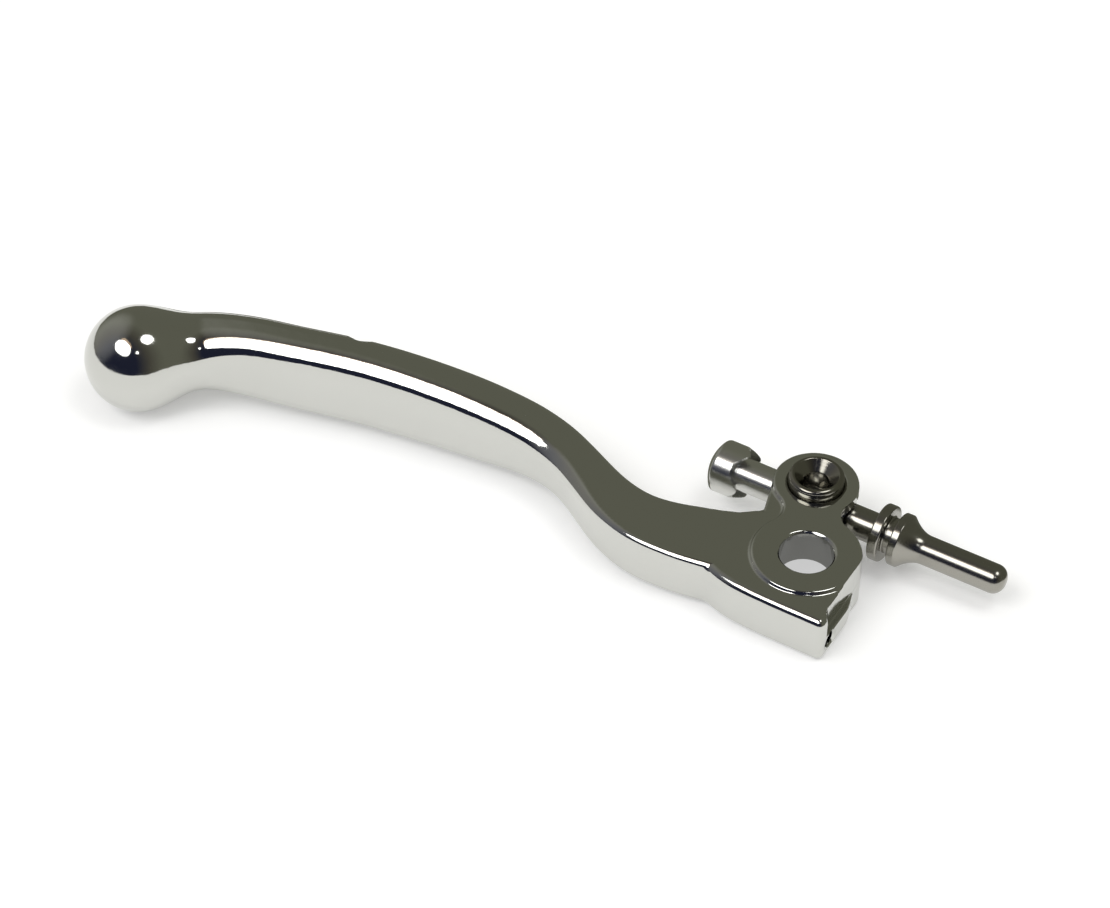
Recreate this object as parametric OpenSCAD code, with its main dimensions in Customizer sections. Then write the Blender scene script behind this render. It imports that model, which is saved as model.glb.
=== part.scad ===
// Motorcycle clutch lever with a trunnion barrel and a screw-adjusted pushrod.
// The origin lies on the pivot axis, at half the thickness of the blade.
// +Z is the pivot axis, +X runs along the pushrod towards its tip.

/* [Lever] */
// Distance along X from the pivot axis to the centre of the ball end
ball_reach = 137.4; // [110:0.1:170]
// Diameter of the ball end
ball_d = 21; // [16:0.1:24]
// Largest height of the grip
grip_height = 17; // [12:0.1:19]
// Height of the flat blade and of the nose
blade_height = 10; // [9:0.1:13]
// How far the nose stands out from the pivot axis, towards the rider's fingers
nose_depth = 14.1; // [12.5:0.1:17]
// Distance from the pivot axis to the flat end face of the nose
end_face_x = 10.8; // [10.4:0.1:14]
// Radius of the long edges of the nose
nose_edge_r = 1.8; // [0.5:0.1:3]

/* [Pivot] */
// Diameter of the pivot bolt's bore
pivot_bore_d = 10; // [6:0.1:12]
// Diameter of the raised ring around the pivot bore
boss_d = 20.3; // [17:0.1:21]
// How far the raised face stands above the blade
face_step = 0.65; // [0.3:0.05:1.5]
// Length of the pivot bore's wall, from the raised face down to the relief below
pivot_wall = 7.05; // [5:0.05:9]
// Radius of the relief pocket below the pivot bore
relief_r = 6.5; // [6.3:0.1:7]

/* [Eye and barrel] */
// Place of the barrel's axis across the pushrod, measured from the pivot axis
eye_y = 16.8; // [16.5:0.1:22]
// Place of the barrel's axis along the pushrod, measured from the pivot axis
eye_x = -6.9; // [-9:0.1:-4]
// Diameter of the barrel that turns in the eye
barrel_d = 10.4; // [9:0.1:12.5]
// Wall of the eye around the barrel
eye_wall = 2.75; // [1.5:0.05:3.5]
// Height of the eye
eye_height = 11.3; // [11:0.1:15]
// How far the barrel stands out of the eye at each end
barrel_proud = 2.1; // [0.3:0.1:2.5]
// Diameter of the hole along the barrel's axis
barrel_hole_d = 4.8; // [3.5:0.1:5.5]
// Diameter of the countersink at the top of that hole
countersink_d = 8.4; // [6:0.1:8.8]
// How far the barrel turns each way in the eye, in degrees
barrel_swing = 8; // [4:1:10]

/* [Adjuster] */
// Diameter of the adjuster's sleeve, the outside of its thread
sleeve_d = 6.4; // [5.3:0.1:7]
// Diameter of the adjuster's knob
knob_d = 10.2; // [8:0.1:13]
// Length of the knob
knob_length = 7.6; // [6:0.1:10]
// Distance from the barrel's axis to the knob's notched face
knob_gap = 13.9; // [13:0.1:17]
// Depth of the crossed V notches in that face
notch_depth = 2; // [1:0.1:3]
// Width of the floor of each notch
notch_floor = 2.2; // [1:0.1:3]
// Width of each notch at its mouth
notch_mouth = 6.6; // [4:0.1:7.5]

/* [Pushrod] */
// Largest diameter of the shank that enters the barrel behind the sleeve
shank_d = 6; // [5:0.1:6.2]
// Diameter of the flange
flange_d = 11; // [9:0.1:13]
// Thickness of the flange
flange_t = 2; // [1:0.1:3]
// Distance from the barrel's axis to the flange
flange_gap = 13.4; // [13:0.1:16]
// Width of the boot groove
groove_w = 1.8; // [1:0.1:3]
// Diameter of the boot groove's floor
groove_d = 7; // [6.2:0.1:8]
// Diameter of the collar behind the rod
collar_d = 10.2; // [8:0.1:12]
// Width of the collar's rim
collar_w = 1.5; // [0.8:0.1:3]
// Length of the hollow taper from the collar to the rod
taper_length = 4.4; // [3:0.1:7]
// Diameter of the rod
rod_d = 5.6; // [4.5:0.1:7]
// Length of the rod from the taper to the rounded tip
rod_length = 16; // [12:0.1:24]
// Diameter of the spigot that seats in the adjuster's sleeve
spigot_d = 4; // [3:0.1:4.6]

/* [Fits] */
// Radial clearance of a turning or sliding fit
running_fit = 0.05; // [0.02:0.01:0.1]
// Gap between faces that move past each other
face_gap = 0.15; // [0.1:0.05:0.3]

/* [Hidden] */
$fn = 48;
eps = 0.01;

blade_top = blade_height / 2;
face_z = blade_top + face_step;
boss_r = boss_d / 2;
pivot_r = pivot_bore_d / 2;
relief_top = face_z - pivot_wall;

barrel_r = barrel_d / 2;
eye_bore_r = barrel_r + running_fit;
eye_r = eye_bore_r + eye_wall;
eye_low = face_z - eye_height;
rod_z = (face_z + eye_low) / 2;
eye = [eye_x, eye_y];

barrel_low = eye_low - barrel_proud;
barrel_top = face_z + barrel_proud;
barrel_hole_r = barrel_hole_d / 2;
countersink_r = countersink_d / 2;

sleeve_r = sleeve_d / 2;
cross_bore_r = sleeve_r + running_fit;
spigot_r = spigot_d / 2;
shank_r = min(shank_d / 2, sleeve_r - 0.2);

// Stations along the pushrod's axis
knob_face_x = eye_x - knob_gap;
sleeve_end_x = eye_x + 3;
flange_x = eye_x + flange_gap;
groove_x = flange_x + flange_t;
collar_x = groove_x + groove_w;
taper_x = collar_x + collar_w;
rod_x = taper_x + taper_length;
tip_x = rod_x + rod_length;

// The side opening of the eye leaves room for the sleeve as the barrel swings
opening_h = sleeve_d + 0.7;
opening_w = sleeve_d + 2 * eye_r * sin(barrel_swing) + 0.8;

// The parts of the lever beyond x = -22 stretch with ball_reach
stretch_from = -22;
drawn_reach = 137.4;
function reach_x(x) = x > stretch_from ? x
    : stretch_from + (x - stretch_from) * (ball_reach + stretch_from) / (drawn_reach + stretch_from);
ball = [reach_x(-drawn_reach), -16.2];
ball_r = ball_d / 2;
grip_h = grip_height / 2;

// Cross sections of the lever: a point on the far side, a point on the near
// side, half the height, and the radius of the section's four corners.
nose_y = -nose_depth;
root_y = 3;
STATIONS = [
    [[-138.6, -6.2], [-128.8, -19.6], ball_r - 2.2, 8],
    [[-134.2, -3.2], [-125.7, -16.2], ball_r - 3.2, 6.6],
    [[-129.6, -1.4], [-122.2, -12.5], ball_r - 3.6, 5.4],
    [[-123.0, 0.2], [-116.6, -9.5], grip_h - 0.9, 4.6],
    [[-112.2, 2.6], [-107.6, -7.2], grip_h - 0.2, 4.2],
    [[-97.4, 6.0], [-94.6, -4.3], grip_h, 4],
    [[-82.4, 8.2], [-81.0, -2.5], grip_h - 0.4, 4],
    [[-69.0, 9.2], [-69.0, -1.6], grip_h - 1.1, 3.7],
    [[-59.8, 9.1], [-61.0, -1.2], grip_h - 2.0, 3.2],
    [[-53.2, 7.8], [-55.6, -1.9], blade_top + 0.8, 2.5],
    [[-46.4, 5.0], [-50.4, -3.6], blade_top + 0.25, 1.8],
    [[-39.8, 1.8], [-44.6, -7.0], blade_top, 1.3],
    [[-34.4, -0.3], [-38.0, -10.6], blade_top, 1],
    [[-29.4, -0.9], [-30.6, -12.8], blade_top, 0.9],
    [[-22.4, 0.9], [-22.4, -13.1], blade_top, 1.1],
    [[-15.0, root_y], [-15.0, -12.0], blade_top, 1.4],
    [[-12.6, root_y], [-12.6, (nose_y - 12) / 2], blade_top, nose_edge_r],
    [[-9.4, root_y], [-9.4, nose_y + 0.5], blade_top, nose_edge_r],
    [[-4, root_y], [-4, nose_y], blade_top, nose_edge_r],
    [[end_face_x - 2, root_y], [end_face_x - 2, nose_y], blade_top, nose_edge_r],
    [[end_face_x - 0.5, root_y], [end_face_x - 0.5, nose_y + 0.5], blade_top - 0.1, nose_edge_r],
    [[end_face_x, root_y], [end_face_x, nose_y + 1.5], blade_top - 0.5, nose_edge_r]
];
SPAN_STEPS = 3;
CORNER_STEPS = 4;

// A smooth curve through p1 and p2, with p0 and p3 as its neighbours
function curve(p0, p1, p2, p3, t) =
    0.5 * (2 * p1 + (p2 - p0) * t + (2 * p0 - 5 * p1 + 4 * p2 - p3) * t * t
    + (3 * p1 - p0 - 3 * p2 + p3) * t * t * t);

function flat(s) = [reach_x(s[0].x), s[0].y, reach_x(s[1].x), s[1].y, s[2], s[3]];
function station(i) = flat(STATIONS[min(max(i, 0), len(STATIONS) - 1)]);
function between(i, t) = curve(station(i - 1), station(i), station(i + 1), station(i + 2), t);

// One ring of the lever: a rectangle with round corners, upright on the plan
function ring(s) =
    let (far = [s[0], s[1]], near = [s[2], s[3]], mid = (far + near) / 2)
    let (half_w = norm(far - near) / 2, along = (far - near) / norm(far - near))
    let (half_h = s[4], r = min(s[5], half_w - eps, half_h - eps))
    [for (q = [0:3], k = [0:CORNER_STEPS])
        let (a = 90 * q + 90 * k / CORNER_STEPS)
        let (w = (q == 0 || q == 3 ? 1 : -1) * (half_w - r) + r * cos(a))
        let (h = (q < 2 ? 1 : -1) * (half_h - r) + r * sin(a))
        [mid.x + along.x * w, mid.y + along.y * w, h]];

// A closed skin over a list of rings that all have the same number of points
module skin(rings) {
    n = len(rings[0]);
    last = len(rings) - 1;
    sides = [for (i = [0:last - 1], k = [0:n - 1])
        let (a = i * n + k, b = i * n + (k + 1) % n)
        each [[a, a + n, b], [b, a + n, b + n]]];
    first_cap = [for (k = [0:n - 1]) k];
    last_cap = [for (k = [n - 1:-1:0]) last * n + k];
    polyhedron([for (r = rings) each r], concat(sides, [first_cap, last_cap]));
}

module arm() {
    spans = len(STATIONS) - 1;
    rings = [for (i = [0:spans - 1], k = [0:SPAN_STEPS - 1]) ring(between(i, k / SPAN_STEPS))];
    skin(concat(rings, [ring(station(spans))]));
}

// Centre of a circle of radius r that touches two circles, on the given side
function touching(c1, r1, c2, r2, r, side) =
    let (d = norm(c2 - c1), a = r1 + r, b = r2 + r)
    let (u = (c2 - c1) / d, x = (d * d + a * a - b * b) / (2 * d))
    c1 + u * x + side * [-u.y, u.x] * sqrt(a * a - x * x);

// Outline of the pivot ring and of the waist that joins it to the eye. The
// waist's arcs reach a little way into both rings, so that no edges only touch.
neck_r = 4;
blend = 0.03;
module raised_outline() {
    left = touching([0, 0], boss_r - blend, eye, eye_r - blend, neck_r, 1);
    right = touching([0, 0], boss_r - blend, eye, eye_r - blend, neck_r, -1);
    circle(boss_r);
    difference() {
        polygon([[0, 0], right, eye, left]);
        translate(left) circle(neck_r);
        translate(right) circle(neck_r);
    }
}

// The web that joins the eye to the blade, with a round inner corner
web_r = 1.6;
web_top = blade_top - blend;
module web_outline() {
    wall = [eye.x - (eye_r - blend) * cos(20), eye.y - (eye_r - blend) * sin(20)];
    corner = [-12.2, 5.2];
    difference() {
        polygon([[0, 0], eye, wall, corner + [0, web_r], corner + [-web_r, -0.2], [-14, 3], [-14, -5]]);
        translate(corner + [-web_r, web_r]) circle(web_r);
    }
}

module along_x(x, y = eye_y, z = rod_z) {
    translate([x, y, z]) rotate([0, 90, 0]) children();
}

// Opening through both walls of the eye for the sleeve and the shank
module rod_opening() {
    shift = (opening_w - opening_h) / 2;
    along_x(eye.x - eye_r - 1) linear_extrude(2 * eye_r + 2) {
        square([opening_h, 2 * shift], center = true);
        for (s = [-1, 1]) translate([0, s * shift]) circle(d = opening_h);
    }
}

// Relief pocket below the pivot bore, longer towards the eye
relief_shift = 3;
module relief() {
    far = eye / norm(eye) * relief_shift;
    side = [-far.y, far.x] / relief_shift * (relief_r - blend);
    translate([0, 0, -face_z - 1]) linear_extrude(relief_top + face_z + 1) {
        circle(relief_r);
        translate(far) circle(relief_r);
        polygon([side, -side, far - side, far + side]);
    }
}

// The end face is set back: its upper half down to a ledge, and its far end
// from top to bottom, where it runs into the pivot ring
ledge_back = 1.3;
ledge_near_y = -9.5;
ledge_far_y = -3.5;
ledge_r = 3;
module end_ledge() {
    back_x = end_face_x - ledge_back;
    out_x = end_face_x + 1;
    translate([0, 0, -face_z - 1]) linear_extrude(2 * face_z + 2)
        polygon([[end_face_x + 0.31, ledge_far_y - 1], [back_x, 1], [back_x, 12], [out_x, 12], [out_x, ledge_far_y - 1]]);
    linear_extrude(face_z + 1) {
        translate([back_x, ledge_near_y]) square([ledge_back + 1, boss_r - ledge_near_y]);
        translate([back_x + ledge_r, ledge_near_y]) circle(ledge_r);
    }
}

screw_hole_r = 1.6;
screw_hole_y = -10.4;
screw_hole_z = -2;
screw_hole_depth = 6;
module end_hole() {
    along_x(end_face_x - screw_hole_depth, screw_hole_y, screw_hole_z) {
        cylinder(r = screw_hole_r, h = screw_hole_depth + 1);
        translate([0, 0, screw_hole_depth - 0.5])
            cylinder(r1 = screw_hole_r, r2 = screw_hole_r + 1.5, h = 1.5);
    }
}

bore_chamfer = 0.4;
module chamfered_bore(r, low, high) {
    translate([0, 0, low - 1]) cylinder(r = r, h = high - low + 2);
    translate([0, 0, high - bore_chamfer]) cylinder(r1 = r, r2 = r + 1, h = 1);
}

module lever() color([0.76, 0.76, 0.74]) difference() {
    union() {
        arm();
        translate([ball.x, ball.y, 0]) sphere(ball_r);
        translate([0, 0, -web_top]) linear_extrude(2 * web_top) web_outline();
        translate([0, 0, -face_z]) linear_extrude(2 * face_z) raised_outline();
        translate([eye.x, eye.y, eye_low]) cylinder(r = eye_r, h = eye_height);
    }
    chamfered_bore(pivot_r, relief_top, face_z);
    translate([eye.x, eye.y, 0]) chamfered_bore(eye_bore_r, eye_low, face_z);
    rod_opening();
    relief();
    end_ledge();
    end_hole();
}

// A turned piece with round ends, drawn from its half outline
module barrel_blank(edge = 0.9) {
    rotate_extrude() {
        translate([0, barrel_low + edge]) square([barrel_r, barrel_top - barrel_low - 2 * edge]);
        translate([0, barrel_low]) square([barrel_r - edge, barrel_top - barrel_low]);
        for (z = [barrel_low + edge, barrel_top - edge]) translate([barrel_r - edge, z]) circle(edge);
    }
}

pad_r = 1.5;
pad_length = 1.9;
module barrel() color([0.45, 0.43, 0.38]) difference() {
    translate([eye.x, eye.y, 0]) barrel_blank();
    translate([eye.x, eye.y, rod_z]) cylinder(r = barrel_hole_r, h = barrel_top);
    translate([eye.x, eye.y, barrel_top - (countersink_r - barrel_hole_r)])
        cylinder(r1 = barrel_hole_r, r2 = countersink_r + 1, h = countersink_r - barrel_hole_r + 1);
    along_x(eye.x - barrel_r - 1) cylinder(r = cross_bore_r, h = 2 * barrel_r + 2);
    translate([eye.x, eye.y, barrel_low - 1]) cylinder(r = pad_r, h = rod_z - barrel_low + 1);
}

// The nylon pad that bears on the sleeve and holds the adjuster's setting
pad_top = rod_z - cross_bore_r - running_fit;
module friction_pad() color([0.92, 0.9, 0.84])
    translate([eye.x, eye.y, pad_top - pad_length]) cylinder(r = pad_r - running_fit, h = pad_length);

// The set screw below the pad, with its hexagon socket
socket_across = 1.5;
module grub_screw() color([0.25, 0.25, 0.26]) {
    length = pad_top - pad_length - 0.05 - (barrel_low + 0.2);
    translate([eye.x, eye.y, barrel_low + 0.2]) difference() {
        cylinder(r = pad_r - running_fit, h = length);
        translate([0, 0, -eps]) cylinder(d = socket_across / cos(30), h = length * 0.6, $fn = 6);
    }
}

module notches() {
    for (turn = [0, 90]) rotate([0, 0, 43 + turn])
        rotate([90, 0, 0]) linear_extrude(2 * knob_d, center = true)
            polygon([[-notch_mouth / 2, eps], [-notch_floor / 2, -notch_depth],
                [notch_floor / 2, -notch_depth], [notch_mouth / 2, eps]]);
}

// Knob and sleeve are one turned piece; its outer end is a shallow dome
dome_rise = 1.8;
module adjuster_knob() color([0.82, 0.82, 0.8]) {
    knob_r = knob_d / 2;
    dome_r = (knob_r * knob_r + dome_rise * dome_rise) / (2 * dome_rise);
    sleeve_length = sleeve_end_x - face_gap - knob_face_x;
    along_x(knob_face_x) difference() {
        union() {
            difference() {
                translate([0, 0, -knob_length]) cylinder(r = knob_r, h = knob_length);
                notches();
            }
            translate([0, 0, -notch_depth - 1]) cylinder(r = sleeve_r, h = sleeve_length + notch_depth + 1);
        }
        translate([0, 0, sleeve_length - 8]) cylinder(r = spigot_r + running_fit, h = 9);
        difference() {
            translate([0, 0, -knob_length - 1]) cylinder(r = knob_r + 1, h = dome_rise + 1);
            translate([0, 0, -knob_length + dome_r]) sphere(dome_r);
        }
    }
}

module tapered_collar() {
    drop = collar_d / 2 - rod_d / 2;
    steps = 8;
    outline = [for (k = [0:steps]) let (t = k / steps) [rod_d / 2 + drop * pow(1 - t, 1.9), taper_length * t]];
    rotate_extrude() polygon(concat([[0, 0]], outline, [[0, taper_length]]));
}

module rod_end() {
    round_r = rod_d / 2 - 0.5;
    cylinder(r = rod_d / 2, h = rod_length - round_r);
    translate([0, 0, rod_length - round_r]) rotate_extrude() {
        square([0.5, round_r]);
        intersection() {
            translate([0.5, 0]) circle(round_r);
            square(rod_d);
        }
    }
}

module pushrod() color([0.6, 0.58, 0.54]) {
    along_x(sleeve_end_x - 7.5) cylinder(r = spigot_r, h = 7.5 + eps);
    along_x(sleeve_end_x) cylinder(r = shank_r, h = flange_x - sleeve_end_x + eps);
    along_x(flange_x) cylinder(r = flange_d / 2, h = flange_t);
    along_x(groove_x - eps) cylinder(r = groove_d / 2, h = groove_w + 2 * eps);
    along_x(collar_x) cylinder(r = collar_d / 2, h = collar_w);
    along_x(taper_x - eps) tapered_collar();
    along_x(rod_x - 2 * eps) rod_end();
}

lever();
barrel();
adjuster_knob();
pushrod();
friction_pad();
grub_screw();
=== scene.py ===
# %% [markdown]
# # A polished clutch lever
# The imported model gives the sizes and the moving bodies. This script gives the
# pieces that show their final surface, their materials, a floor and the light.
# The lever is forged and polished, the barrel, knob and pushrod are turned.

import math

import bpy
import numpy as np
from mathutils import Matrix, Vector


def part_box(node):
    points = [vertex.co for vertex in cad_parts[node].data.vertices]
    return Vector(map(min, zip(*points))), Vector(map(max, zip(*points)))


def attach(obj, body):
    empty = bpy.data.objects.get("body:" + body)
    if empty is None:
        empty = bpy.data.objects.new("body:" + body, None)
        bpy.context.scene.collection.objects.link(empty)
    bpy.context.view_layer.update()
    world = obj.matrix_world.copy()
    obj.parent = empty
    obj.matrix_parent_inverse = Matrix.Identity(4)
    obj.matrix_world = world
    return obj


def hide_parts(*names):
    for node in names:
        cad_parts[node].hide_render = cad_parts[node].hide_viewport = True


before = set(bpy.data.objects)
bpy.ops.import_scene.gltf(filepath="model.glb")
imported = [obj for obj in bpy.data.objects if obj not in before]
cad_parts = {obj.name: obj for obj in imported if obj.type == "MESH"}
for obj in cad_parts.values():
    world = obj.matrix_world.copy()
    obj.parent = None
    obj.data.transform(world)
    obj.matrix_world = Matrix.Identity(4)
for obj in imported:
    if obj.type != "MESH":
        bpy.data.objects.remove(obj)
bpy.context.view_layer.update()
scene = bpy.context.scene
print("nodes:", sorted(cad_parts))

# %% [markdown]
# ## Sizes
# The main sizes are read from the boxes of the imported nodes, so they follow
# the model. Everything up to the meshes is in millimetres.

# %% Read the sizes


def box_mm(name):
    """Lowest and highest corner of a node, in millimetres"""
    low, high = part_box(name)
    return np.array(low) * 1000, np.array(high) * 1000


lever_low, lever_high = box_mm("lever")
barrel_low, barrel_high = box_mm("barrel")
rod_low, rod_high = box_mm("pushrod")
knob_low, knob_high = box_mm("adjuster_knob")

EYE = (barrel_low + barrel_high)[:2] / 2
BARREL_R = (barrel_high - barrel_low)[0] / 2
ROD_Z = (rod_low + rod_high)[2] / 2
BALL_R = lever_high[2]
BALL = np.array([lever_low[0] + BALL_R, lever_low[1] + BALL_R])
END_X = lever_high[0]
BLADE_TOP = 5.0
FACE_STEP = 0.65
FACE_Z = BLADE_TOP + FACE_STEP
EYE_R = lever_high[1] - EYE[1]
EYE_LOW = -FACE_Z
print("eye", EYE.round(2), "ball", BALL.round(2), "end face", round(float(END_X), 2))

# %% [markdown]
# ## Distance fields
# The lever is one polished forging whose parts flow into each other. It is
# described by a distance field: negative inside, positive outside. `soft_min`
# joins two fields with a fillet, and `round_max` cuts one by another and
# rounds the edge.

# %% Field helpers


def soft_min(a, b, k):
    """The union of two fields, with a fillet about k wide"""
    h = np.maximum(k - np.abs(a - b), 0) / k
    return np.minimum(a, b) - h * h * k / 4


def soft_max(a, b, k):
    """Where both are negative, with a softened edge"""
    return -soft_min(-a, -b, k)


def round_max(a, b, r):
    """Where both are negative, with an edge of radius r between them"""
    return np.hypot(np.maximum(a + r, 0), np.maximum(b + r, 0)) + np.minimum(np.maximum(a, b) + r, 0) - r


def polygon_field(x, y, corners):
    """Signed distance to a plan outline"""
    d = np.full(np.broadcast(x, y).shape, 1e9)
    sign = np.ones_like(d)
    for (ax, ay), (bx, by) in zip(corners, corners[1:] + corners[:1]):
        ex, ey = bx - ax, by - ay
        wx, wy = x - ax, y - ay
        t = np.clip((wx * ex + wy * ey) / (ex * ex + ey * ey), 0, 1)
        d = np.minimum(d, (wx - ex * t) ** 2 + (wy - ey * t) ** 2)
        up, down, left = y >= ay, y < by, ex * wy > ey * wx
        sign = np.where((up & down & left) | (~up & ~down & ~left), -sign, sign)
    return sign * np.sqrt(d)


def smooth_table(points, step, sigma):
    """A dense, smoothed copy of a table whose first column grows evenly"""
    points = np.array(points, float)
    s = np.arange(points[0, 0], points[-1, 0] + step / 2, step)
    half = int(4 * sigma / step)
    kernel = np.exp(-0.5 * (np.arange(-half, half + 1) * step / sigma) ** 2)
    kernel /= kernel.sum()
    columns = [s]
    for column in points.T[1:]:
        v = np.interp(s, points[:, 0], column)
        before = v[0] + (v[0] - v[1 : half + 1][::-1])
        after = v[-1] + (v[-1] - v[-half - 1 : -1][::-1])
        columns.append(np.convolve(np.concatenate([before, v, after]), kernel, "valid"))
    return np.array(columns)


# %% [markdown]
# ## The arm
# Each row is a cross section: a point on the far side, a point on the near
# side, half the height and the corner radius. The rows are smoothed along the
# centre line, so that the polish shows no kinks.

# %% Sections of the arm
SECTIONS = [
    (-141.0, -11.6, -134.2, -20.4, 5.9, 5.0),
    (-134.6, -3.6, -126.8, -15.6, 6.7, 5.8),
    (-130.0, -1.2, -122.6, -12.5, 7.2, 5.7),
    (-123.2, 0.4, -116.8, -9.6, 7.9, 5.0),
    (-112.2, 2.5, -107.6, -7.2, 8.35, 4.4),
    (-97.4, 6.0, -94.6, -4.2, 8.5, 4.2),
    (-82.4, 8.2, -81.0, -2.4, 8.2, 4.1),
    (-69.0, 9.2, -69.0, -1.5, 7.5, 4.0),
    (-59.8, 9.1, -61.0, -1.2, 6.5, 3.7),
    (-53.2, 7.8, -55.6, -1.9, 5.75, 3.3),
    (-46.4, 5.0, -50.4, -3.6, 5.2, 2.8),
    (-39.8, 1.8, -44.6, -7.0, 5.0, 2.3),
    (-34.4, -0.3, -38.0, -10.6, 5.0, 1.5),
    (-29.4, -0.9, -30.6, -12.8, 5.0, 1.0),
    (-22.4, 0.9, -22.4, -13.1, 5.0, 1.1),
    (-15.0, 3.5, -15.0, -12.0, 5.0, 1.3),
    (-8.0, 6.0, -8.0, -11.0, 5.0, 1.5),
    (0.0, 6.0, 0.0, -11.0, 5.0, 1.5),
]
sections = np.array(SECTIONS)
middles = (sections[:, 0:2] + sections[:, 2:4]) / 2
half_widths = np.hypot(*(sections[:, 0:2] - sections[:, 2:4]).T) / 2
run = np.concatenate([[0], np.cumsum(np.hypot(*np.diff(middles, axis=0).T))])
# The near upper edge of the grip has a slight flat that fades out at both ends
flat_depth = np.interp(middles[:, 0], [-122, -112, -70, -50, -44], [0, 0.13, 0.13, 0.08, 0])


def spline(t, xs, ys):
    """Smooth curve through the points (Catmull-Rom on uneven steps)"""
    slope = np.gradient(ys, xs)
    i = np.clip(np.searchsorted(xs, t) - 1, 0, len(xs) - 2)
    h = xs[i + 1] - xs[i]
    u = (t - xs[i]) / h
    a, b = (1 + 2 * u) * (1 - u) ** 2, u * (1 - u) ** 2
    c, d = u * u * (3 - 2 * u), u * u * (u - 1)
    return a * ys[i] + b * h * slope[i] + c * ys[i + 1] + d * h * slope[i + 1]


t = np.arange(0, run[-1], 0.25)
rows = [spline(t, run, v) for v in (*middles.T, half_widths, sections[:, 4], sections[:, 5], flat_depth)]
ARM = smooth_table(np.array([t, *rows]).T, 0.25, 2.2)
print("arm:", ARM.shape[1], "sections, centre line", round(float(run[-1]), 1), "mm long")

# %% [markdown]
# The arm could be a loft with a subdivision surface, but its polish would show
# the ridges. Here each point looks up the section beside it on the centre line.

# %% The field of the arm
FLAT_TILT = math.radians(38)
FLAT_EDGE = 0.2


def arm_field(x, y, z):
    """Each point is measured in the section beside it on the centre line"""
    s, mx, my, half_w, half_h, r, flat = ARM
    along = np.interp(x, mx, s)
    tx, ty = np.gradient(mx, s), np.gradient(my, s)
    for _ in range(4):
        along = along + (x - np.interp(along, s, mx)) * np.interp(along, s, tx) + (
            y - np.interp(along, s, my)
        ) * np.interp(along, s, ty)
    ux, uy = np.interp(along, s, tx), np.interp(along, s, ty)
    wx, wy = x - np.interp(along, s, mx), y - np.interp(along, s, my)
    side = wy * ux - wx * uy
    beyond = np.maximum(np.abs(wx * ux + wy * uy) - 0.5, 0)
    w, h, r = (np.interp(along, s, v) for v in (half_w, half_h, r))
    flare = 1 / np.sqrt(1 + np.interp(along, s, np.gradient(half_w, s)) ** 2)
    body = round_max((np.abs(side) - w) * flare, np.abs(z) - h, r) + beyond
    top = math.cos(FLAT_TILT) * (z - h + r) + math.sin(FLAT_TILT) * (-side - w + r) - r
    return soft_max(body, top + np.interp(along, s, flat), FLAT_EDGE)


# %% [markdown]
# ## The head
# The nose, the raised face round the pivot and the eye, the web between them,
# and the bores that go through them.

# %% The field of the lever
NOSE = smooth_table(
    [(-18, -10.0), (-15.4, -11.3), (-13.2, -12.4), (-11.3, -13.05), (-8.2, -13.7), (-4, -14.0), (1, -14.1)]
    + [(6, -14.1), (13, -14.1)],
    0.1,
    0.9,
)
NOSE_SLOPE = 1 / np.sqrt(1 + np.gradient(NOSE[1], NOSE[0]) ** 2)
BOSS_R = 10.15
BOSS_SET_BACK = 1.35
NECK_R = 4.0
PIVOT_R = 5
RELIEF_R, RELIEF_TOP, RELIEF_SHIFT = 6.5, -1.4, 3
RUNNING_FIT = 0.05
NOSE_HOLE_Y, NOSE_HOLE_Z, NOSE_HOLE_R, NOSE_HOLE_DEPTH = -10.4, -2, 1.6, 6
SLOT_R, SLOT_HALF_FLAT, SLOT_HALF_LENGTH = 3.55, 1.09, 9
LEDGE_BACK, LEDGE_Y, LEDGE_R = 1.3, -9.5, 3
# Beyond this line the end face leans back
LEAN_FROM_Y = -3.5
LEAN_X, LEAN_Y = 0.955, 0.297
BALL_FILLET = 4.5


def touching(side):
    """Centre of the waist's circle that touches the boss and the eye"""
    d = math.hypot(*EYE)
    a, b = BOSS_R + NECK_R, EYE_R + NECK_R
    u = EYE / d
    across = (d * d + a * a - b * b) / (2 * d)
    return u * across + side * np.array([-u[1], u[0]]) * math.sqrt(a * a - across * across)


LEFT, RIGHT = touching(1), touching(-1)
CORNER = (-13.8, 6.8)
CORNER_R = 1.6
WEB = [(0, 0), tuple(EYE), (EYE[0] - 7.5, EYE[1] - 2.7), (-12.0, 5.7)]
for a in np.radians(range(10, 71, 10)):
    WEB.append((CORNER[0] + CORNER_R * math.cos(a), CORNER[1] - CORNER_R * math.sin(a)))
WEB += [(-15.6, 3.4), (-18.5, 2.2), (-18.5, -5), (0, -5)]


def raised_outline(x, y):
    """Plan of the raised face: boss, eye and the waist between them"""
    boss = soft_max(np.hypot(x, y) - BOSS_R, x - END_X + BOSS_SET_BACK, 0.5)
    eye = np.hypot(x - EYE[0], y - EYE[1]) - EYE_R
    waist = polygon_field(x, y, [(0, 0), tuple(RIGHT), tuple(EYE), tuple(LEFT)])
    for c in (LEFT, RIGHT):
        waist = np.maximum(waist, NECK_R - np.hypot(x - c[0], y - c[1]))
    return np.minimum(np.minimum(boss, eye), waist)


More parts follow.
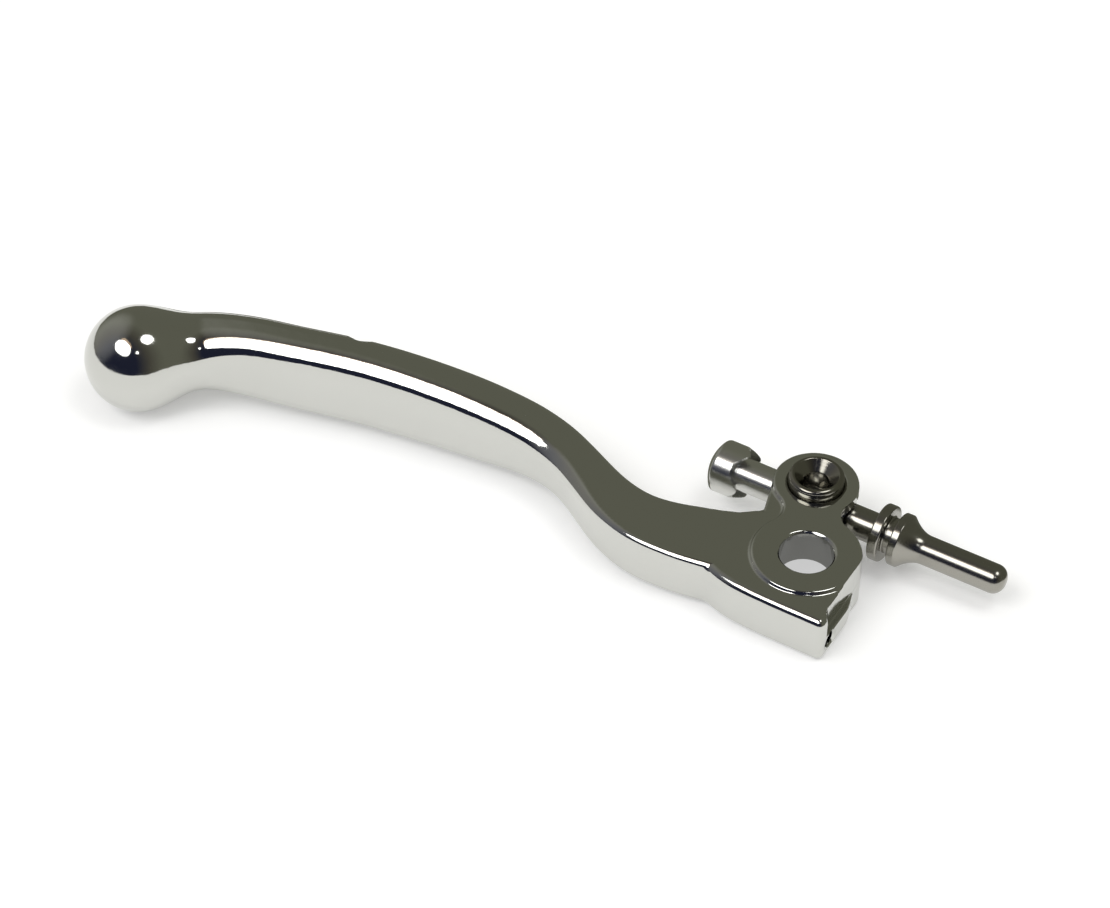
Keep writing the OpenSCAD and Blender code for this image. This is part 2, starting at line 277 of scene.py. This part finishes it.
def cuts(x, y, z):
    """Everything that is bored or milled out of the lever"""
    bore = np.hypot(x, y) - PIVOT_R - np.maximum(z - FACE_Z + 0.4, 0)
    far = EYE / math.hypot(*EYE) * RELIEF_SHIFT
    k = np.clip((x * far[0] + y * far[1]) / RELIEF_SHIFT**2, 0, 1)
    relief = np.maximum(np.hypot(x - k * far[0], y - k * far[1]) - RELIEF_R, z - RELIEF_TOP)
    eye = np.hypot(x - EYE[0], y - EYE[1]) - BARREL_R - RUNNING_FIT - np.maximum(z - FACE_Z + 0.35, 0)
    slot = np.hypot(np.maximum(np.abs(y - EYE[1]) - SLOT_HALF_FLAT, 0), z - ROD_Z) - SLOT_R
    slot = np.maximum(slot, np.abs(x - EYE[0]) - SLOT_HALF_LENGTH)
    back = END_X - LEDGE_BACK
    ledge = np.maximum(back - x, LEDGE_Y - y)
    ledge = np.minimum(ledge, np.hypot(x - back - LEDGE_R, y - LEDGE_Y) - LEDGE_R)
    ledge = round_max(ledge, -z, 0.25)
    rho = np.hypot(y - NOSE_HOLE_Y, z - NOSE_HOLE_Z)
    hole = np.maximum(rho - NOSE_HOLE_R - np.maximum(x - END_X + 0.5, 0), END_X - NOSE_HOLE_DEPTH - x)
    return np.minimum.reduce(np.broadcast_arrays(bore, relief, eye, slot, ledge, hole))


def dents(x, y, z):
    """The small knocks of a used lever"""
    # Each is a ball's centre and radius
    knocks = [(-99.4, 5.7, 8.4, 2.75), (-20.3, -15.6, 0.6, 2.75), (-51.5, 0.9, 7.2, 1.75)]
    found = [np.sqrt((x - a) ** 2 + (y - b) ** 2 + (z - c) ** 2) - r for a, b, c, r in knocks]
    return np.minimum.reduce(found)


def lever_field(x, y, z):
    """Ball, arm, nose, web and raised faces, less the bores and the dents"""
    ball = np.sqrt((x - BALL[0]) ** 2 + (y - BALL[1]) ** 2 + z * z) - BALL_R
    d = soft_min(arm_field(x, y, z), ball, BALL_FILLET)
    near = (np.interp(x, *NOSE) - y) * np.interp(x, NOSE[0], NOSE_SLOPE)
    turn = (x - END_X) * LEAN_X + (y - LEAN_FROM_Y) * LEAN_Y
    nose = round_max(near, soft_max(x - END_X, turn, 0.4), 1.3)
    nose = np.maximum(np.maximum(nose, y - 3), -14.6 - x)
    fillet = np.clip((4.7 - np.abs(z)) * 0.8, 0.02, 1.2)
    d = soft_min(d, round_max(nose, np.abs(z) - BLADE_TOP, 1.7), fillet)
    d = np.minimum(d, round_max(polygon_field(x, y, WEB), np.abs(z) - BLADE_TOP + 0.02, 0.5))
    raised = round_max(raised_outline(x, y), np.abs(z) - FACE_Z, 0.45)
    eye_side = np.hypot(x - EYE[0], y - EYE[1]) - EYE_R
    eye = round_max(eye_side, np.maximum(z - FACE_Z, EYE_LOW - z), 0.45)
    d = soft_min(d, np.minimum(raised, eye), 0.55)
    d = soft_max(d, -cuts(x, y, z), 0.12)
    return soft_max(d, -dents(x, y, z), 0.5)


# %% [markdown]
# ## From a field to a mesh
# Dual contouring: every grid cell that the surface crosses gets one point, set
# where the tangent planes of its crossings meet, and every crossed grid edge
# gets one face. Edges stay crisp and round parts stay smooth.

# %% Dual contouring


def slope_of(field, p, h=0.01):
    """The field's unit gradient at each point"""
    g = np.empty_like(p)
    for a in range(3):
        step = np.zeros(3)
        step[a] = h
        g[:, a] = field(*(p + step).T) - field(*(p - step).T)
    return g / np.maximum(np.linalg.norm(g, axis=1), 1e-9)[:, None]


def contour(field, axes):
    """Points, quads and normals of the surface where the field is zero"""
    xs, ys, zs = axes
    shape = (len(xs), len(ys), len(zs))
    f = np.empty(shape)
    for i in range(0, shape[0], 24):
        part = slice(i, i + 24)
        f[part] = field(xs[part][:, None, None], ys[None, :, None], zs[None, None, :])
    cell_ids, points, normals, flips = [], [], [], []
    strides = np.array([shape[1] * shape[2], shape[2], 1])
    for a in range(3):
        low = np.take(f, range(shape[a] - 1), a)
        high = np.take(f, range(1, shape[a]), a)
        at = np.argwhere((low < 0) != (high < 0))
        f0 = low[tuple(at.T)]
        f1 = high[tuple(at.T)]
        p0 = np.stack([axes[n][at[:, n]] for n in range(3)], 1)
        length = axes[a][at[:, a] + 1] - p0[:, a]
        t0, t1 = np.zeros(len(at)), np.ones(len(at))
        g0, g1 = f0.copy(), f1.copy()
        for _ in range(4):
            t = t0 + (t1 - t0) * np.clip(g0 / (g0 - g1), 0.02, 0.98)
            p = p0.copy()
            p[:, a] += t * length
            g = field(*p.T)
            same = (g < 0) == (g0 < 0)
            t0, g0 = np.where(same, t, t0), np.where(same, g, g0)
            t1, g1 = np.where(same, t1, t), np.where(same, g1, g)
        points.append(p)
        normals.append(slope_of(field, p))
        b, c = (a + 1) % 3, (a + 2) % 3
        around = []
        for db, dc in ((-1, -1), (0, -1), (0, 0), (-1, 0)):
            cell = at.copy()
            cell[:, b] += db
            cell[:, c] += dc
            around.append(cell @ strides)
        cell_ids.append(np.stack(around, 1))
        flips.append(f0 >= 0)
    quads = np.concatenate(cell_ids)
    points, normals = np.concatenate(points), np.concatenate(normals)
    ids, where = np.unique(quads, return_inverse=True)
    where = where.reshape(quads.shape)
    count = np.bincount(where.ravel(), minlength=len(ids)).astype(float)

    def gather(values):
        return sum(np.bincount(where[:, k], values, len(ids)) for k in range(4))

    middle = np.stack([gather(points[:, n]) for n in range(3)], 1) / count[:, None]
    offset = (normals * points).sum(1)
    m = np.empty((len(ids), 3, 3))
    v = np.empty((len(ids), 3))
    for i in range(3):
        v[:, i] = gather(normals[:, i] * offset)
        for j in range(3):
            m[:, i, j] = gather(normals[:, i] * normals[:, j])
    v -= (m @ middle[:, :, None])[:, :, 0]
    m += np.eye(3) * (0.04 * count)[:, None, None]
    place = middle + np.linalg.solve(m, v[:, :, None])[:, :, 0]
    cell = np.stack([ids // strides[0], ids // strides[1] % shape[1], ids % shape[2]], 1)
    lowest = np.stack([axes[n][cell[:, n]] for n in range(3)], 1)
    highest = np.stack([axes[n][cell[:, n] + 1] for n in range(3)], 1)
    place = np.clip(place, lowest, highest)
    bend = slope_of(field, place)
    push = field(*place.T)[:, None] * bend
    place = np.where(np.abs(push).max(1)[:, None] < 0.1, place - push, place)
    flips = np.concatenate(flips)
    where[flips] = where[flips][:, ::-1]
    return place, where, bend


def mesh_of(name, points, quads, smooth_normals, limit=0.86):
    """A mesh in metres. Corners take the smooth normal unless the edge is crisp."""
    mesh = bpy.data.meshes.new(name)
    mesh.vertices.add(len(points))
    mesh.vertices.foreach_set("co", (points * 0.001).ravel())
    mesh.loops.add(quads.size)
    mesh.loops.foreach_set("vertex_index", quads.ravel().astype(np.int32))
    mesh.polygons.add(len(quads))
    mesh.polygons.foreach_set("loop_start", np.arange(0, quads.size, 4, dtype=np.int32))
    mesh.update(calc_edges=True)
    mesh.polygons.foreach_set("use_smooth", np.ones(len(quads), bool))
    corner = points[quads]
    face = np.cross(corner[:, 2] - corner[:, 0], corner[:, 3] - corner[:, 1])
    face /= np.maximum(np.linalg.norm(face, axis=1), 1e-12)[:, None]
    loops = smooth_normals[quads]
    crisp = (loops * face[:, None, :]).sum(2) < limit
    loops = np.where(crisp[:, :, None], face[:, None, :], loops)
    mesh.normals_split_custom_set(loops.reshape(-1, 3))
    obj = bpy.data.objects.new(name, mesh)
    scene.collection.objects.link(obj)
    print(f"{name}: {len(points)} points, {2 * len(quads)} triangles")
    return obj


def grid(low, high, step):
    """Even steps that reach past both ends"""
    n = int(math.ceil((high - low) / step)) + 2
    return low - step * 0.37 + step * np.arange(n + 1)


# %% [markdown]
# The grid is fine round the head and coarser along the arm, where the shape
# changes slowly along its length.

# %% Mesh of the lever
coarse = np.arange(lever_low[0] - 1.0, -19, 0.85)
lever_axes = (
    np.concatenate([coarse, grid(coarse[-1] + 0.5, END_X + 0.5, 0.335)]),
    grid(lever_low[1] - 0.3, lever_high[1] + 0.3, 0.33),
    grid(lever_low[2] - 0.3, lever_high[2] + 0.3, 0.33),
)
lever = mesh_of("lever_polished", *contour(lever_field, lever_axes))

# %% [markdown]
# ## Barrel and adjuster
# The same method makes the two small pieces that have cross bores and notches.
# A boolean would leave long thin faces where a bore meets a bore.

# %% The barrel
BARREL_HOLE_R, COUNTERSINK_DEPTH, BARREL_EDGE = 2.4, 1.8, 0.9
CROSS_BORE_R, SCREW_R = 3.25, 1.5


def barrel_field(x, y, z):
    """A rounded pin with a countersunk hole, a cross bore and the screw's hole"""
    dx, dy = x - EYE[0], y - EYE[1]
    rho = np.hypot(dx, dy)
    low, high = barrel_low[2], barrel_high[2]
    d = round_max(rho - BARREL_R, np.abs(z - (low + high) / 2) - (high - low) / 2, BARREL_EDGE)
    countersink = (rho - BARREL_HOLE_R - np.maximum(z - high + COUNTERSINK_DEPTH, 0)) * 0.8
    hole = np.maximum(countersink, ROD_Z - z)
    cross = np.hypot(dy, z - ROD_Z) - CROSS_BORE_R
    screw = np.maximum(rho - SCREW_R, z - ROD_Z)
    return soft_max(d, -np.minimum(np.minimum(hole, cross), screw), 0.1)


barrel_axes = [grid(barrel_low[n] - 0.2, barrel_high[n] + 0.2, 0.16) for n in range(3)]
barrel = mesh_of("barrel_turned", *contour(barrel_field, barrel_axes))

# %% [markdown]
# The knob is gripped by its rim and by two crossed V notches in its inner face.
# It is one turned piece with the sleeve, so both are one field.

# %% The adjuster's knob and sleeve
KNOB_R = (knob_high - knob_low)[1] / 2
SLEEVE_R, SLEEVE_BORE_R, SLEEVE_BORE_DEPTH = 3.2, 2.05, 8
NOTCH_DEPTH, NOTCH_HALF_MOUTH = 2, 3.3
NOTCHED_X = EYE[0] - 13.9
DOME_RISE = 1.8
DOME_R = (KNOB_R**2 + DOME_RISE**2) / (2 * DOME_RISE)


def knob_field(x, y, z):
    """A domed knob with two crossed notches, on a bored sleeve"""
    dy, dz = y - EYE[1], z - ROD_Z
    rho = np.hypot(dy, dz)
    dome = np.sqrt((x - knob_low[0] - DOME_R) ** 2 + dy**2 + dz**2) - DOME_R
    d = round_max(rho - KNOB_R, np.maximum(dome, x - NOTCHED_X), 0.3)
    for turn in (43, 133):
        a = math.radians(turn)
        across = np.abs(dy * math.cos(a) + dz * math.sin(a))
        wall = (NOTCHED_X - x) * 1.1 + across - NOTCH_HALF_MOUTH
        notch = round_max(wall / 1.49, NOTCHED_X - NOTCH_DEPTH - x, 0.2)
        d = soft_max(d, -notch, 0.15)
    sleeve = round_max(rho - SLEEVE_R, np.maximum(NOTCHED_X - 3 - x, x - knob_high[0]), 0.15)
    d = soft_min(d, sleeve, 0.3)
    bore = np.maximum(rho - SLEEVE_BORE_R, knob_high[0] - SLEEVE_BORE_DEPTH - x)
    return soft_max(d, -bore, 0.1)


knob_axes = [grid(knob_low[n] - 0.2, knob_high[n] + 0.2, 0.14) for n in range(3)]
knob = mesh_of("adjuster_knob_and_sleeve", *contour(knob_field, knob_axes))

# %% [markdown]
# ## Pushrod
# The pushrod is purely turned, so a half outline is spun round its axis. Each
# corner of the outline has a small radius, and the points carry exact normals.

# %% Spin the pushrod


def rounded(outline, steps=4):
    """Points and normals of an outline of (x, r, corner radius)"""
    points, normals = [], []
    flat = [np.array(p[:2], float) for p in outline]
    for i, (x, r, fillet) in enumerate(outline):
        a = flat[i] - flat[i - 1] if i else None
        b = flat[i + 1] - flat[i] if i + 1 < len(flat) else None
        if a is None or b is None:
            d = b if a is None else a
            d = d / np.linalg.norm(d)
            points.append(flat[i])
            normals.append([-d[1], d[0]])
            continue
        a, b = a / np.linalg.norm(a), b / np.linalg.norm(b)
        angle = math.atan2(a[0] * b[1] - a[1] * b[0], a @ b)
        cut = fillet * abs(math.tan(angle / 2))
        start = flat[i] - a * cut
        side = math.copysign(1, angle) * np.array([-a[1], a[0]])
        centre = start + side * fillet
        for k in range(steps + 1):
            turn = angle * k / steps
            c, s = math.cos(turn), math.sin(turn)
            spoke = start - centre
            points.append(centre + [c * spoke[0] - s * spoke[1], s * spoke[0] + c * spoke[1]])
            n = [-a[1], a[0]]
            normals.append([c * n[0] - s * n[1], s * n[0] + c * n[1]])
            if fillet == 0:
                break
    return np.array(points), np.array(normals)


def spin(name, outline, centre, parts=112):
    """A turned piece about an axis along X through centre"""
    p, n = rounded(outline)
    a = np.arange(parts) * 2 * math.pi / parts
    ring = np.stack([np.zeros(parts), np.cos(a), np.sin(a)], 1)
    points = np.array([1, 0, 0]) * p[:, None, :1] + ring[None] * p[:, None, 1:]
    bend = np.array([1, 0, 0]) * n[:, None, :1] + ring[None] * n[:, None, 1:]
    i, k = np.meshgrid(np.arange(len(p) - 1), np.arange(parts), indexing="ij")
    k2 = (k + 1) % parts
    quads = np.stack([i * parts + k, i * parts + k2, (i + 1) * parts + k2, (i + 1) * parts + k], 2)
    points = points.reshape(-1, 3) + np.array([0, *centre])
    return mesh_of(name, points, quads.reshape(-1, 4), bend.reshape(-1, 3), -2)


SHOULDER_X = EYE[0] + 3
FLANGE_X = EYE[0] + 13.4
GROOVE_X = FLANGE_X + 2
COLLAR_X = FLANGE_X + 3.8
TAPER_X = FLANGE_X + 5.3
TAPER_LENGTH = 4.4
SPIGOT_R, SHANK_R, FLANGE_R, GROOVE_R, COLLAR_R, ROD_R = 2, 3, 5.5, 3.5, 5.1, 2.8
TIP_ROUND = 2.3
TIP_FLAT_R = 0.5
ON_AXIS = 0.01
outline = [(rod_low[0], ON_AXIS, 0), (rod_low[0], SPIGOT_R, 0.2)]
outline += [(SHOULDER_X, SPIGOT_R, 0.2), (SHOULDER_X, SHANK_R, 0.2)]
outline += [(FLANGE_X, SHANK_R, 0.35), (FLANGE_X, FLANGE_R, 0.35)]
outline += [(GROOVE_X, FLANGE_R, 0.35), (GROOVE_X, GROOVE_R, 0.3)]
outline += [(COLLAR_X, GROOVE_R, 0.3), (COLLAR_X, COLLAR_R, 0.3), (TAPER_X, COLLAR_R, 0.3)]
for step in np.linspace(0.06, 1, 12):
    outline.append((TAPER_X + TAPER_LENGTH * step, ROD_R + 2.3 * (1 - step) ** 1.9, 0))
for a in np.radians(range(0, 90, 9)):
    along, out = TIP_ROUND * math.sin(a), TIP_ROUND * math.cos(a)
    outline.append((rod_high[0] - TIP_ROUND + along, TIP_FLAT_R + out, 0))
outline += [(rod_high[0], TIP_FLAT_R, 0), (rod_high[0], ON_AXIS, 0)]
pushrod = spin("pushrod_turned", outline, (EYE[1], ROD_Z))

# %% [markdown]
# ## Materials
# Every finish is procedural, in object coordinates. `polished` gives a mirror
# with faint waviness and scuffs; `turned` adds the fine rings of a lathe.

# %% Material helpers


def node(tree, kind, **inputs):
    """A shader node with some inputs set, named with _ for each space"""
    n = tree.nodes.new(kind)
    for key, value in inputs.items():
        n.inputs[key.replace("_", " ")].default_value = value
    return n


def new_material(name, colour, roughness, metallic=1.0):
    """A plain material, its node tree and its shader"""
    m = bpy.data.materials.new(name)
    m.use_nodes = True
    shader = m.node_tree.nodes["Principled BSDF"]
    shader.inputs["Base Color"].default_value = (*colour, 1)
    shader.inputs["Roughness"].default_value = roughness
    shader.inputs["Metallic"].default_value = metallic
    return m, m.node_tree, shader


def polished(name, colour, rough, scuffed, ripple, grain):
    """A mirror finish with cloudy scuffs, faint ripples and a fine grain"""
    m, tree, shader = new_material(name, colour, rough)
    place = tree.nodes.new("ShaderNodeTexCoord")
    cloud = node(tree, "ShaderNodeTexNoise", Scale=130.0, Detail=5.0, Roughness=0.6)
    spread = node(tree, "ShaderNodeMapRange", From_Min=0.52, From_Max=0.78, To_Min=rough, To_Max=scuffed)
    fine = node(tree, "ShaderNodeTexNoise", Scale=2600.0, Detail=3.0)
    wide = node(tree, "ShaderNodeTexNoise", Scale=240.0, Detail=2.0)
    small_bump = node(tree, "ShaderNodeBump", Strength=1.0, Distance=grain)
    wide_bump = node(tree, "ShaderNodeBump", Strength=1.0, Distance=ripple)
    join = tree.links.new
    for texture in (cloud, fine, wide):
        join(place.outputs["Object"], texture.inputs["Vector"])
    join(cloud.outputs["Fac"], spread.inputs["Value"])
    join(spread.outputs["Result"], shader.inputs["Roughness"])
    join(wide.outputs["Fac"], wide_bump.inputs["Height"])
    join(fine.outputs["Fac"], small_bump.inputs["Height"])
    join(wide_bump.outputs["Normal"], small_bump.inputs["Normal"])
    join(small_bump.outputs["Normal"], shader.inputs["Normal"])
    return m


def turned(name, colour, rough, axis, centre, pitch, depth):
    """Fine rings round an axis through centre, which is in metres"""
    m, tree, shader = new_material(name, colour, rough)
    place = tree.nodes.new("ShaderNodeTexCoord")
    shift = node(tree, "ShaderNodeMapping", Location=tuple(-c for c in centre))
    split = tree.nodes.new("ShaderNodeSeparateXYZ")
    join = tree.links.new
    join(place.outputs["Object"], shift.inputs["Vector"])
    join(shift.outputs["Vector"], split.inputs["Vector"])
    others = [n for n in "XYZ" if n != axis]
    squares = []
    for n in others:
        square = node(tree, "ShaderNodeMath")
        square.operation = "MULTIPLY"
        join(split.outputs[n], square.inputs[0])
        join(split.outputs[n], square.inputs[1])
        squares.append(square)
    total = node(tree, "ShaderNodeMath")
    total.operation = "ADD"
    join(squares[0].outputs[0], total.inputs[0])
    join(squares[1].outputs[0], total.inputs[1])
    radius = node(tree, "ShaderNodeMath")
    radius.operation = "SQRT"
    join(total.outputs[0], radius.inputs[0])
    along = node(tree, "ShaderNodeCombineXYZ")
    join(radius.outputs[0], along.inputs["X"])
    join(split.outputs[axis], along.inputs["Y"])
    lines = node(tree, "ShaderNodeTexNoise", Scale=1 / pitch, Detail=2.0)
    join(along.outputs["Vector"], lines.inputs["Vector"])
    bump = node(tree, "ShaderNodeBump", Strength=1.0, Distance=depth)
    join(lines.outputs["Fac"], bump.inputs["Height"])
    join(bump.outputs["Normal"], shader.inputs["Normal"])
    return m


# %% [markdown]
# The forging is aluminium, a shade darker than the turned knob. The barrel is
# dark steel and the pushrod stainless. Each new piece rides its body and stands
# in for its node, and the pad and the screw keep their own meshes.

# %% Dress the pieces
eye_m = (EYE[0] / 1000, EYE[1] / 1000, ROD_Z / 1000)
aluminium = polished("polished aluminium", (0.585, 0.588, 0.556), 0.07, 0.16, 0.00006, 0.0000035)
steel = turned("dark turned steel", (0.27, 0.26, 0.225), 0.16, "Z", eye_m, 0.0003, 0.000006)
bright = turned("turned aluminium", (0.66, 0.66, 0.63), 0.24, "X", eye_m, 0.00025, 0.000006)
stainless = turned("stainless steel", (0.34, 0.33, 0.295), 0.2, "X", eye_m, 0.0003, 0.000005)
nylon = new_material("nylon", (0.86, 0.84, 0.76), 0.5, 0.0)[0]
black = new_material("black steel", (0.05, 0.05, 0.055), 0.4)[0]

for piece, finish, body, slot, cad in (
    (lever, aluminium, "lever", "polished_aluminium", "lever"),
    (barrel, steel, "barrel", "dark_turned_steel", "barrel"),
    (knob, bright, "adjuster", "turned_aluminium", "adjuster_knob"),
    (pushrod, stainless, "pushrod", "stainless_steel", "pushrod"),
):
    piece.data.materials.append(finish)
    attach(piece, body)
    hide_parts(cad)
for cad, finish in (("friction_pad", nylon), ("grub_screw", black)):
    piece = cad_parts[cad]
    piece.data.materials.clear()
    piece.data.materials.append(finish)

# %% [markdown]
# ## Floor
# The lever lies on the ball, the barrel's foot and the nose. The floor is the
# plane through these three points. Its far part is left out of reflections, so
# that the polished top mirrors the dim room and not the floor.

# %% Lay the floor
rests = np.array(
    [
        (BALL[0], BALL[1], -BALL_R),
        (EYE[0], EYE[1], barrel_low[2]),
        (END_X - 1.8, -12.4, -BLADE_TOP),
    ]
)
up = np.cross(rests[1] - rests[0], rests[2] - rests[0])
up = up / np.linalg.norm(up) * math.copysign(1, up[2])
middle = rests.mean(0) - up * 0.05


def lay(name, plan):
    """Part of the floor over a plan outline in millimetres"""
    points = []
    for x, y in plan:
        drop = ((x - middle[0]) * up[0] + (y - middle[1]) * up[1]) / up[2]
        points.append((x, y, middle[2] - drop))
    mesh = bpy.data.meshes.new(name)
    mesh.from_pydata([tuple(c / 1000 for c in p) for p in points], [], [range(len(points))])
    obj = bpy.data.objects.new(name, mesh)
    scene.collection.objects.link(obj)
    return obj


BEHIND = [(-9000, 60), (-200, 200), (-157, 20), (-151.5, 0), (-140, -2), (-125, 3), (-100, 9)]
BEHIND += [(-60, 13.5), (-45, 9.5), (-30, 4), (-26, 30), (60, 32), (9000, 60)]
floor = lay("floor_near", [(9000, -9000)] + BEHIND[::-1] + [(-9000, -9000)])
floor_far = lay("floor_far", BEHIND + [(9000, 9000), (-9000, 9000)])
floor_far.visible_glossy = False
# A glowing patch paints light on the floor that is seen through the pivot bore, and a dark glowing sheet
# paints the shade that is mirrored in its wall
around = np.arange(0, 6.2, 0.2)
patch = lay("floor_painted_light", [(7 * math.cos(a) - 3, 7 * math.sin(a) + 6) for a in around])
shade = lay("floor_shade", [(9 * math.cos(a) - 2, 9 * math.sin(a) + 3) for a in around])
patch.location.z, shade.location.z = 0.00005, 0.0001
shade.visible_camera = patch.visible_glossy = False
for flat in (patch, shade):
    flat.visible_diffuse = flat.visible_shadow = False


def glowing(name, grey, strength):
    """A matt grey that also gives off light"""
    m, _, shader = new_material(name, (grey, grey, grey), 0.9, 0.0)
    shader.inputs["Emission Color"].default_value = (1, 1, 1, 1)
    shader.inputs["Emission Strength"].default_value = strength
    return m


white = glowing("white floor", 0.86, 0.24)
# Painted light: the patch under the bore glows brighter than the floor round it
painted_bore_light = glowing("painted light through the bore", 0.2, 0.56)
dusk = glowing("shade under the head", 0.1, 0.2)
for part, paint in ((floor, white), (floor_far, white), (patch, painted_bore_light), (shade, dusk)):
    part.data.materials.append(paint)
print("floor tilt", round(math.degrees(math.acos(up[2])), 2), "degrees")

# %% [markdown]
# ## Light
# A wide, soft key from above lights the floor evenly. Softboxes on the near
# side give the long highlight, and the dim room is what the top reflects.

# %% Lights
AIM = Vector((-0.055, 0.003, 0))


def heading(azimuth, elevation):
    """Unit vector towards a light, from angles in degrees"""
    a, e = math.radians(azimuth), math.radians(elevation)
    return Vector((math.cos(a) * math.cos(e), math.sin(a) * math.cos(e), math.sin(e)))


def softbox(name, azimuth, elevation, wide, tall, radiance, colour=(1, 1, 1), shape="DISK", far=2.5):
    """An area light that faces the lever, with an even radiance"""
    data = bpy.data.lights.new(name, "AREA")
    data.shape = shape
    data.size, data.size_y = wide, tall
    data.energy = radiance * math.pi * wide * tall
    data.color = colour
    light = bpy.data.objects.new(name, data)
    scene.collection.objects.link(light)
    away = heading(azimuth, elevation)
    light.location = AIM + away * far
    light.rotation_euler = away.to_track_quat("Z", "Y").to_euler()


softbox("long softbox", -112, 53.5, 1.7, 1.15, 3.2, shape="ELLIPSE")
softbox("warm edge", -114, 65.5, 1.4, 0.4, 0.5, (1.0, 0.72, 0.48), "ELLIPSE", 2.6)
softbox("small lamp", -54, 54, 0.3, 0.3, 3.0)
softbox("round lamp", 17, 71, 0.95, 0.95, 3.0)

sky = bpy.data.lights.new("overhead", "SUN")
sky.energy = 1.6
sky.angle = math.radians(125)
overhead = bpy.data.objects.new("overhead", sky)
scene.collection.objects.link(overhead)
overhead.rotation_euler = heading(-80, 72).to_track_quat("Z", "Y").to_euler()
overhead.visible_glossy = False

# %% [markdown]
# A mirror shows what is round it, so the room matters more than the metal. It
# is grey overhead and near black on the near side, with a paler patch beyond
# the ball end that fades out softly.

# %% The dim room
world = bpy.data.worlds.new("room")
scene.world = world
world.use_nodes = True
tree = world.node_tree
place = tree.nodes.new("ShaderNodeTexCoord")
lean = node(tree, "ShaderNodeVectorMath")
lean.operation = "DOT_PRODUCT"
lean.inputs[1].default_value = (-0.15, -0.93, 0.33)
ramp = tree.nodes.new("ShaderNodeValToRGB")
stops = ramp.color_ramp.elements
stops[0].position, stops[0].color = 0.0, (0.155, 0.157, 0.122, 1)
stops[1].position, stops[1].color = 0.75, (0.018, 0.021, 0.042, 1)
extra = stops.new(0.4)
extra.color = (0.085, 0.08, 0.066, 1)
tree.links.new(place.outputs["Generated"], lean.inputs[0])
tree.links.new(lean.outputs["Value"], ramp.inputs["Fac"])
patch_dot = node(tree, "ShaderNodeVectorMath")
patch_dot.operation = "DOT_PRODUCT"
patch_dot.inputs[1].default_value = heading(-172, 30)
fade = tree.nodes.new("ShaderNodeMapRange")
fade.interpolation_type = "SMOOTHSTEP"
fade.inputs["From Min"].default_value, fade.inputs["From Max"].default_value = 0.62, 0.95
fade.inputs["To Max"].default_value = 0.16
total = node(tree, "ShaderNodeVectorMath")
tree.links.new(place.outputs["Generated"], patch_dot.inputs[0])
tree.links.new(patch_dot.outputs["Value"], fade.inputs["Value"])
tree.links.new(ramp.outputs["Color"], total.inputs[0])
tree.links.new(fade.outputs["Result"], total.inputs[1])
tree.links.new(total.outputs["Vector"], tree.nodes["Background"].inputs["Color"])

# %% [markdown]
# ## Camera
# A long lens, a little above the lever on the rider's side.

# %% Camera
lens = bpy.data.cameras.new("camera")
lens.lens, lens.sensor_width = 107.03, 36
lens.clip_start = 0.01
camera = bpy.data.objects.new("camera", lens)
scene.collection.objects.link(camera)
right, above = (0.85648, 0.51614, 0.00589), (-0.36314, 0.59442, 0.71749)
ahead, stand = (-0.36683, 0.61666, -0.69654), (0.173038, -0.379924, 0.432579)
matrix = camera.matrix_world.copy()
for row in range(3):
    matrix[row][0], matrix[row][1], matrix[row][2] = right[row], above[row], -ahead[row]
    matrix[row][3] = stand[row]
camera.matrix_world = matrix
scene.camera = camera
scene.view_settings.view_transform = "Standard"

# %% [markdown]
# ## Finish
# The view layer is updated last.

# %% Finish
bpy.context.view_layer.update()
